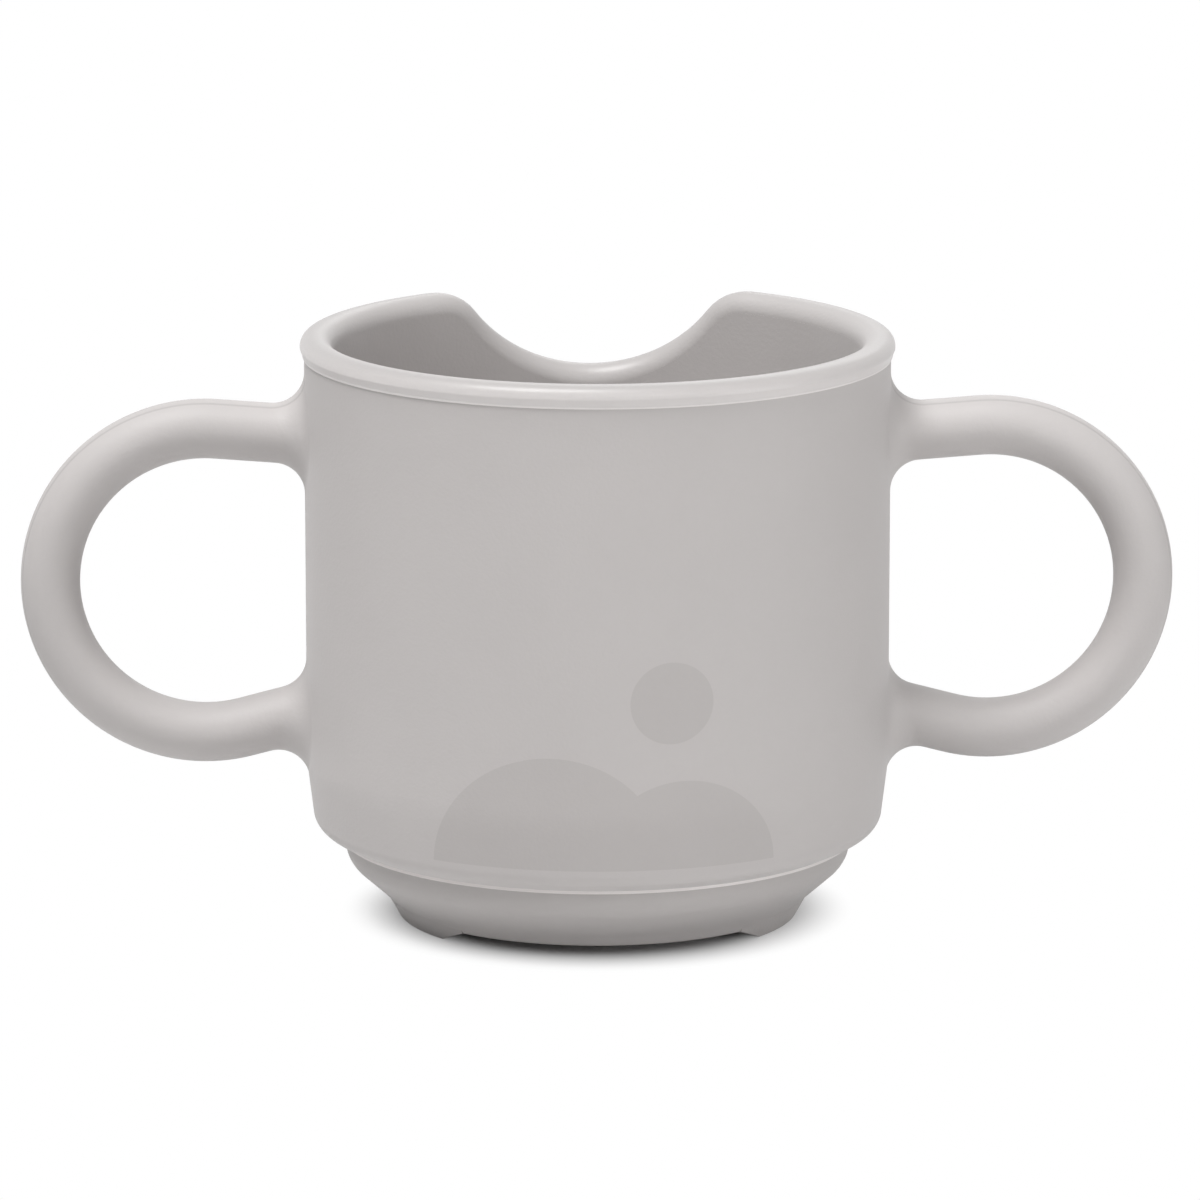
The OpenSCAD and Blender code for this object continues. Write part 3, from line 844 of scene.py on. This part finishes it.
def seam_mask(tree, place, width):
    """1 along a mould seam at a place around the bar, 0 from half its width on; it carries the seam's bump
    and its painted shade.
    """
    bar = add(tree, "ShaderNodeUVMap", {}, uv_map=BAR_MAP).outputs[0]
    return fade(tree, abs(parts(tree, bar)["Y"] - place), 0.0, width)


# Pieces


def bar_middle(handles, turn):
    """Middle of the bar at an angle of the handle's ring, and the direction out of the ring there."""
    out = Vector((math.cos(turn), 0, math.sin(turn)))
    return Vector((handles.grip_x, 0, handles.grip_z)) + handles.grip_radius * out, out


def root_rings(handles, walls, turn, arm):
    """Rings of a root from the bar to the wall and a little into it, upper arm 1 and lower arm -1."""
    start, out = bar_middle(handles, turn)
    way = arm * Vector((-out.z, 0, out.x))
    rings = [[] for _ in range(ROOT_STEPS + 2)]
    for k in range(HANDLE_SIDES):
        offset, normal = bar_side(handles, out, k)
        ball = start + offset + handles.root_radius * normal
        ball += way * ((walls.wall_radius + handles.root_radius - ball.x) / way.x)
        meeting = ball.z - handles.root_lean * handles.root_radius
        reach = wall_radius_at(walls, meeting) + handles.root_radius
        ball += way * ((math.sqrt(reach ** 2 - ball.y ** 2) - ball.x) / way.x)
        wall = Vector((ball.x, ball.y, 0)) / reach
        for i in range(ROOT_STEPS + 1):
            rings[i].append(ball - handles.root_radius * normal.slerp(wall, i / ROOT_STEPS))
        rings[-1].append(rings[-2][k] - wall * handles.root_sink)
    return rings


def bar_side(handles, out, k):
    """Offset of the bar's side from its middle and its outward normal, at a step around the section."""
    around = 2 * math.pi * k / HANDLE_SIDES
    across = Vector((0, math.cos(around), 0))
    upward = math.sin(around) * out
    offset = handles.bar_deep / 2 * across + handles.bar_thick / 2 * upward
    normal = across / handles.bar_deep + upward / handles.bar_thick
    return offset, normal.normalized()


def make_handle(name, handles, walls, side):
    """Handle ring with its arms and flared roots, right side 1 and left side -1."""
    first = math.pi / 2 + handles.upper_fall
    last = -math.pi / 2 - handles.lower_rise
    rings = root_rings(handles, walls, first, 1)[::-1]
    for i in range(GRIP_STEPS + 1):
        middle, out = bar_middle(handles, first + (last - first) * i / GRIP_STEPS)
        rings.append([middle + bar_side(handles, out, k)[0] for k in range(HANDLE_SIDES)])
    rings += root_rings(handles, walls, last, -1)
    piece = tube(name, [[Vector((side * p.x, p.y, p.z)) for p in points] for points in rings])
    around_map(piece, len(rings) - 1)
    return piece


def around_map(piece, last):
    """Map of the bar: along the handle and around its section, from the back over the outer side."""
    layer = piece.data.uv_layers.new(name=BAR_MAP)
    for polygon in piece.data.polygons:
        corners = [divmod(vertex, HANDLE_SIDES) for vertex in polygon.vertices]
        closing = max(k for _, k in corners) == HANDLE_SIDES - 1
        for loop, (i, k) in zip(polygon.loop_indices, corners):
            around = HANDLE_SIDES if closing and k == 0 else k
            layer.data[loop].uv = (i / last, around / HANDLE_SIDES)


def make_foot(name, base, side):
    """Low foot that carries on the slope of the base and whose ends rise to it."""
    lean = (base.turn_radius - base.sole_radius) / (base.turn_height - base.sole_height)
    top = base.sole_height + base.foot_lap
    edge = base.sole_radius + base.foot_proud
    upper = Vector((edge + lean * base.foot_lap, top))
    low = Vector((edge - base.foot_inset, 0))
    inner = Vector((base.sole_radius - base.foot_width, 0))
    inner_top = Vector((inner.x, top))
    section = [upper] + bend(upper, low, inner, base.foot_round, EDGE_STEPS)
    section += bend(low, inner, inner_top, base.foot_round, EDGE_STEPS) + [inner_top]
    reach = base.foot_flat + base.foot_ramp
    rings = []
    for i in range(FOOT_STEPS + 1):
        turn = -reach + 2 * reach * i / FOOT_STEPS
        part = max(abs(turn) - base.foot_flat, 0) / base.foot_ramp
        rise = part * (base.sole_height + base.foot_proud)
        points = []
        for p in section:
            z = rise + p.y * (1 - rise / top)
            radius = p.x + lean * (z - p.y) - part * base.foot_sink
            points.append((side * radius * math.cos(turn), radius * math.sin(turn), z))
        rings.append(points)
    return tube(name, rings)


def wall_radius_at(walls, z):
    """Radius of the sleeve's outer face at a height."""
    face = sleeve_face(walls, 0)
    for upper, lower in zip(face, face[1:]):
        if lower.y <= z <= upper.y and upper.y > lower.y:
            return lower.x + (upper.x - lower.x) * (z - lower.y) / (upper.y - lower.y)
    return walls.wall_radius


def on_wall(walls, x, z, out):
    """Point on the front of the sleeve, moved outward."""
    radius = wall_radius_at(walls, z)
    y = -math.sqrt(radius ** 2 - x ** 2)
    return Vector((x, y, z)) + Vector((x, y, 0)) / radius * out


def patch(name, walls, inlays, columns):
    """Thin inlay on the front wall from columns of points in its outline."""
    rows = len(columns[0])
    front = [on_wall(walls, x, z, inlays.proud) for column in columns for x, z in column]
    back = [on_wall(walls, x, z, -inlays.thick) for column in columns for x, z in column]
    quads = ring_faces(len(columns), rows, False, False)
    shift = len(front)
    faces = quads + [tuple(shift + i for i in quad) for quad in quads]
    last = (len(columns) - 1) * rows
    border = [(i, i + 1) for i in range(rows - 1)]
    border += [(last + i, last + i + 1) for i in range(rows - 1)]
    border += [(i * rows, (i + 1) * rows) for i in range(len(columns) - 1)]
    border += [(i * rows + rows - 1, (i + 1) * rows + rows - 1) for i in range(len(columns) - 1)]
    faces += [(a, b, shift + b, shift + a) for a, b in border]
    return new_piece(name, front + back, faces)


def arc(middle, radius, first, last):
    """Points of an arc around a middle on the X axis, as place and height."""
    turns = [first + (last - first) * i / INLAY_STEPS for i in range(INLAY_STEPS + 1)]
    return [(middle + radius * math.cos(turn), radius * math.sin(turn)) for turn in turns]


def hills_columns(inlays):
    """Columns of points in the outline of two hills."""
    hill_x = inlays.left_end + inlays.hill_radius
    knoll_x = inlays.right_end - inlays.knoll_radius
    span = knoll_x - hill_x
    valley = hill_x + (span ** 2 + inlays.hill_radius ** 2 - inlays.knoll_radius ** 2) / (2 * span)
    hill_end = math.acos((valley - hill_x) / inlays.hill_radius)
    knoll_start = math.acos((valley - knoll_x) / inlays.knoll_radius)
    tops = arc(hill_x, inlays.hill_radius, math.pi, hill_end)
    tops += arc(knoll_x, inlays.knoll_radius, knoll_start, 0)[1:]
    return [column_points(x, inlays.hills_foot, top) for x, top in tops]


def sun_columns(inlays):
    """Columns of points in the outline of a disc."""
    halves = arc(inlays.sun_x, inlays.sun_radius, math.pi, 0)
    return [column_points(x, inlays.sun_z - half, 2 * half) for x, half in halves]


def column_points(x, low, height):
    """Points in a column, from its lower end up."""
    return [(x, low + height * k / INLAY_ROWS) for k in range(INLAY_ROWS + 1)]


class CUP_OT_inner_cup(Operator):
    """Makes the inner cup with its wall, ledge, bowl and floor"""

    bl_idname = "cup.inner_cup"
    bl_label = "Inner cup"

    def execute(self, context):
        scene = context.scene
        walls = scene.cup_walls
        rim = scene.cup_rim
        finish = scene.cup_finish
        piece = turned("inner_cup_skin", liner_section(walls, rim), walls, rim, False)
        # The inner cup's silicone is painted lighter than the wall's, painted light inside the cup
        material = silicone("Inner silicone", finish.inside_colour, finish.satin, finish, coat=finish.coat)
        finish_piece(piece, "inner_cup", material)
        return {"FINISHED"}


class CUP_OT_rim_bead(Operator):
    """Makes the rolled rim that follows the nose cut-out"""

    bl_idname = "cup.rim_bead"
    bl_label = "Rim bead"

    def execute(self, context):
        rim = context.scene.cup_rim
        finish = context.scene.cup_finish
        # The rim reads a map of painted light and shade: crown painted darker towards the outside, sides
        # and lip painted lighter
        material = silicone(
            "Rim silicone", finish.rim_colour, finish.satin, finish, painted_light_map=RIM_PAINTED_LIGHT_AND_SHADE, coat=finish.coat)
        values = {name.replace("_", " ").title(): getattr(rim, name) for name in CupRim.__annotations__}
        values["Path Radius"] = rim.rim_radius - rim.bead_radius
        values["Material"] = material
        piece = grow("rim_bead_skin", rim_tree(), values)
        finish_piece(piece, "rim_bead", material)
        return {"FINISHED"}


class CUP_OT_outer_sleeve(Operator):
    """Makes the outer wall with its rounded heel and thin lower lip"""

    bl_idname = "cup.outer_sleeve"
    bl_label = "Outer sleeve"

    def execute(self, context):
        scene = context.scene
        walls = scene.cup_walls
        rim = scene.cup_rim
        finish = scene.cup_finish
        piece = turned("outer_sleeve_skin", sleeve_section(walls, rim), walls, rim, True)
        # The thin lip is painted lighter, a painted highlight along the lower edge
        lip = walls.edge_height + walls.lip_height
        material = silicone("Matte silicone with lip", finish.wall_colour, finish.matte, finish, lip=lip)
        finish_piece(piece, "outer_sleeve", material)
        return {"FINISHED"}


class CUP_OT_handles(Operator):
    """Makes both handles with their flared roots and mould seams"""

    bl_idname = "cup.handles"
    bl_label = "Handles"

    def execute(self, context):
        scene = context.scene
        handles = scene.cup_handles
        finish = scene.cup_finish
        seam = (OUTER_SIDE + handles.seam_angle / (2 * math.pi), handles.seam_width)
        material = silicone("Matte silicone with seam", finish.wall_colour, finish.matte, finish, seam)
        for name, side in (("right_handle", 1), ("left_handle", -1)):
            piece = make_handle(f"{name}_skin", handles, scene.cup_walls, side)
            finish_piece(piece, name, material)
        return {"FINISHED"}


class CUP_OT_base(Operator):
    """Makes the recessed base with its neck and pocket"""

    bl_idname = "cup.base"
    bl_label = "Base"

    def execute(self, context):
        base = context.scene.cup_base
        finish = context.scene.cup_finish
        # The base is painted darker than the wall, painted shade on its downward faces
        material = silicone("Base silicone", finish.base_colour, finish.matte, finish)
        band_low = base.band_top - base.band_height
        corners = {
            "Under": (0, base.sole_height, 0),
            "Sole": (base.sole_radius, base.sole_height, base.edge_bend),
            "Turn": (base.turn_radius, base.turn_height, base.turn_bend),
            "Band": (base.band_radius, band_low, base.band_bend),
            "Top": (base.band_radius, base.band_top, base.edge_bend),
            "Seat": (base.neck_radius, base.band_top, 0),
            "Neck": (base.neck_radius, base.neck_top, base.edge_bend),
            "Pocket": (base.pocket_radius, base.neck_top, base.edge_bend),
            "Pocket Wall": (base.pocket_radius, band_low, 0),
            "Pocket Floor": (base.pocket_low, base.pocket_height, 0),
            "Middle": (0, base.pocket_height, 0),
        }
        values = {"Steps": COLUMNS, "Material": material}
        for corner, (radius, height, rounding) in corners.items():
            values[f"{corner} Radius"] = radius
            values[f"{corner} Height"] = height
            values[f"{corner} Bend"] = rounding
        piece = grow("base_skin", base_tree(list(corners)), values)
        finish_piece(piece, "base", material)
        return {"FINISHED"}


class CUP_OT_feet(Operator):
    """Makes the two low feet under the base"""

    bl_idname = "cup.feet"
    bl_label = "Feet"

    def execute(self, context):
        base = context.scene.cup_base
        finish = context.scene.cup_finish
        # The feet are painted darker than the wall, painted shade on their downward faces
        material = silicone("Base silicone", finish.base_colour, finish.matte, finish)
        for name, side in (("right_foot", 1), ("left_foot", -1)):
            piece = make_foot(f"{name}_skin", base, side)
            finish_piece(piece, name, material)
        return {"FINISHED"}


class CUP_OT_inlays(Operator):
    """Makes the hills and the sun on the front"""

    bl_idname = "cup.inlays"
    bl_label = "Front inlays"

    def execute(self, context):
        scene = context.scene
        inlays = scene.cup_inlays
        finish = scene.cup_finish
        material = silicone("Inlay silicone", finish.inlay_colour, finish.matte, finish)
        outlines = {"hills_inlay": hills_columns(inlays), "sun_inlay": sun_columns(inlays)}
        for name, columns in outlines.items():
            piece = patch(f"{name}_skin", scene.cup_walls, inlays, columns)
            finish_piece(piece, name, material)
        return {"FINISHED"}


# Stage


def seen_white(tree):
    """1 for rays from the camera, mirrors and glass, 0 for light on the object."""
    path = fields(tree, tree.nodes.new("ShaderNodeLightPath").outputs)
    straight_or_glossy = path["Is Camera Ray"].step("MAXIMUM", path["Is Glossy Ray"])
    return straight_or_glossy.step("MAXIMUM", path["Is Transmission Ray"])


def make_floor(stage):
    """Pale floor that looks white and keeps the shadow of the cup."""
    points = [(0, 0, 0)]
    for i in range(STAGE_SIDES):
        turn = 2 * math.pi * i / STAGE_SIDES
        points.append((stage.floor_radius * math.cos(turn), stage.floor_radius * math.sin(turn), 0))
    faces = [(0, i + 1, (i + 1) % STAGE_SIDES + 1) for i in range(STAGE_SIDES)]
    mesh = bpy.data.meshes.new("floor")
    mesh.from_pydata(points, [], faces)
    floor = bpy.data.objects.new("floor", mesh)
    bpy.context.scene.collection.objects.link(floor)
    material = bpy.data.materials.new("Pale floor")
    tree = empty_tree(material)
    away = add(tree, "ShaderNodeVectorMath", {0: piece_place(tree)}, operation="LENGTH").outputs["Value"]
    seen = seen_white(tree) * (1.0 - fade(tree, away, stage.clear_from, stage.clear_to))
    pale = add(tree, "ShaderNodeBsdfDiffuse", {"Color": stage.floor_colour})
    white = add(tree, "ShaderNodeEmission", {"Strength": 1.0})
    both = add(tree, "ShaderNodeMixShader", {0: seen, 1: pale.outputs[0], 2: white.outputs[0]})
    add(tree, "ShaderNodeOutputMaterial", {"Surface": both.outputs[0]})
    floor.data.materials.append(material)


def make_world(stage):
    """Even light from all around, in front of a white background."""
    world = bpy.data.worlds.new("Studio")
    tree = empty_tree(world)
    light = add(tree, "ShaderNodeBackground", {"Color": WHITE, "Strength": stage.sky})
    white = add(tree, "ShaderNodeBackground", {"Color": WHITE, "Strength": 1.0})
    both = add(
        tree, "ShaderNodeMixShader", {0: seen_white(tree), 1: light.outputs[0], 2: white.outputs[0]})
    add(tree, "ShaderNodeOutputWorld", {"Surface": both.outputs[0]})
    bpy.context.scene.world = world


def soft_light(name, place, size, power):
    """Large soft light that faces the middle of the cup."""
    lamp = bpy.data.lights.new(name, "AREA")
    lamp.shape = "DISK"
    lamp.size = size
    lamp.energy = power
    light = bpy.data.objects.new(name, lamp)
    light.location = place
    light.rotation_euler = (CUP_MIDDLE - place).to_track_quat("-Z", "Y").to_euler()
    bpy.context.scene.collection.objects.link(light)


def make_camera(stage):
    """Camera at the viewing angle of the photograph."""
    level = math.cos(stage.elevation)
    towards = Vector(
        (math.sin(stage.azimuth) * level, -math.cos(stage.azimuth) * level, math.sin(stage.elevation)))
    right = Vector((math.cos(stage.azimuth), math.sin(stage.azimuth), 0))
    up = towards.cross(right)
    data = bpy.data.cameras.new("Camera")
    data.lens = stage.lens
    data.sensor_width = SENSOR_WIDTH
    data.clip_start = CLIP_START
    camera = bpy.data.objects.new("Camera", data)
    place = Vector((stage.target_x, 0, stage.target_z)) + stage.distance * towards
    axes = Matrix((right, up, towards)).transposed().to_4x4()
    camera.matrix_world = Matrix.Translation(place) @ axes
    bpy.context.scene.collection.objects.link(camera)
    bpy.context.scene.camera = camera


class CUP_OT_stage(Operator):
    """Makes the floor, the light and the camera"""

    bl_idname = "cup.stage"
    bl_label = "Stage"

    def execute(self, context):
        stage = context.scene.cup_stage
        context.scene.view_settings.view_transform = "Standard"
        make_floor(stage)
        make_world(stage)
        for name, place, size, power in LIGHTS:
            soft_light(name, place, size, getattr(stage, power))
        make_camera(stage)
        return {"FINISHED"}


GROUPS = (
    ("cup_walls", CupWalls),
    ("cup_rim", CupRim),
    ("cup_handles", CupHandles),
    ("cup_base", CupBase),
    ("cup_inlays", CupInlays),
    ("cup_finish", CupFinish),
    ("cup_stage", CupStage),
)
OPERATORS = (
    CUP_OT_stage,
    CUP_OT_inner_cup,
    CUP_OT_rim_bead,
    CUP_OT_outer_sleeve,
    CUP_OT_handles,
    CUP_OT_base,
    CUP_OT_feet,
    CUP_OT_inlays,
)


class CUP_PT_sidebar(Panel):
    """Sizes, colours and pieces of the cup"""

    bl_idname = "CUP_PT_sidebar"
    bl_label = "Baby drinking cup"
    bl_space_type = "VIEW_3D"
    bl_region_type = "UI"
    bl_category = "Cup"

    def draw(self, context):
        for operator in OPERATORS:
            self.layout.operator(operator.bl_idname)
        for name, group in GROUPS:
            box = self.layout.box()
            box.label(text=group.__doc__)
            for prop in group.__annotations__:
                box.prop(getattr(context.scene, name), prop, text=prop.replace("_", " ").capitalize())


def register():
    """Registers the sizes, the pieces and the panel."""
    for name, group in GROUPS:
        bpy.utils.register_class(group)
        setattr(bpy.types.Scene, name, PointerProperty(type=group))
    for operator in OPERATORS:
        bpy.utils.register_class(operator)
    bpy.utils.register_class(CUP_PT_sidebar)


def unregister():
    """Removes what register added."""
    bpy.utils.unregister_class(CUP_PT_sidebar)
    for operator in reversed(OPERATORS):
        bpy.utils.unregister_class(operator)
    for name, group in reversed(GROUPS):
        delattr(bpy.types.Scene, name)
        bpy.utils.unregister_class(group)


def main():
    """Registers the sizes and the pieces, and makes every piece and the stage."""
    register()
    bpy.ops.cup.stage()
    bpy.ops.cup.inner_cup()
    bpy.ops.cup.rim_bead()
    bpy.ops.cup.outer_sleeve()
    bpy.ops.cup.handles()
    bpy.ops.cup.base()
    bpy.ops.cup.feet()
    bpy.ops.cup.inlays()


if __name__ == "__main__":
    main()
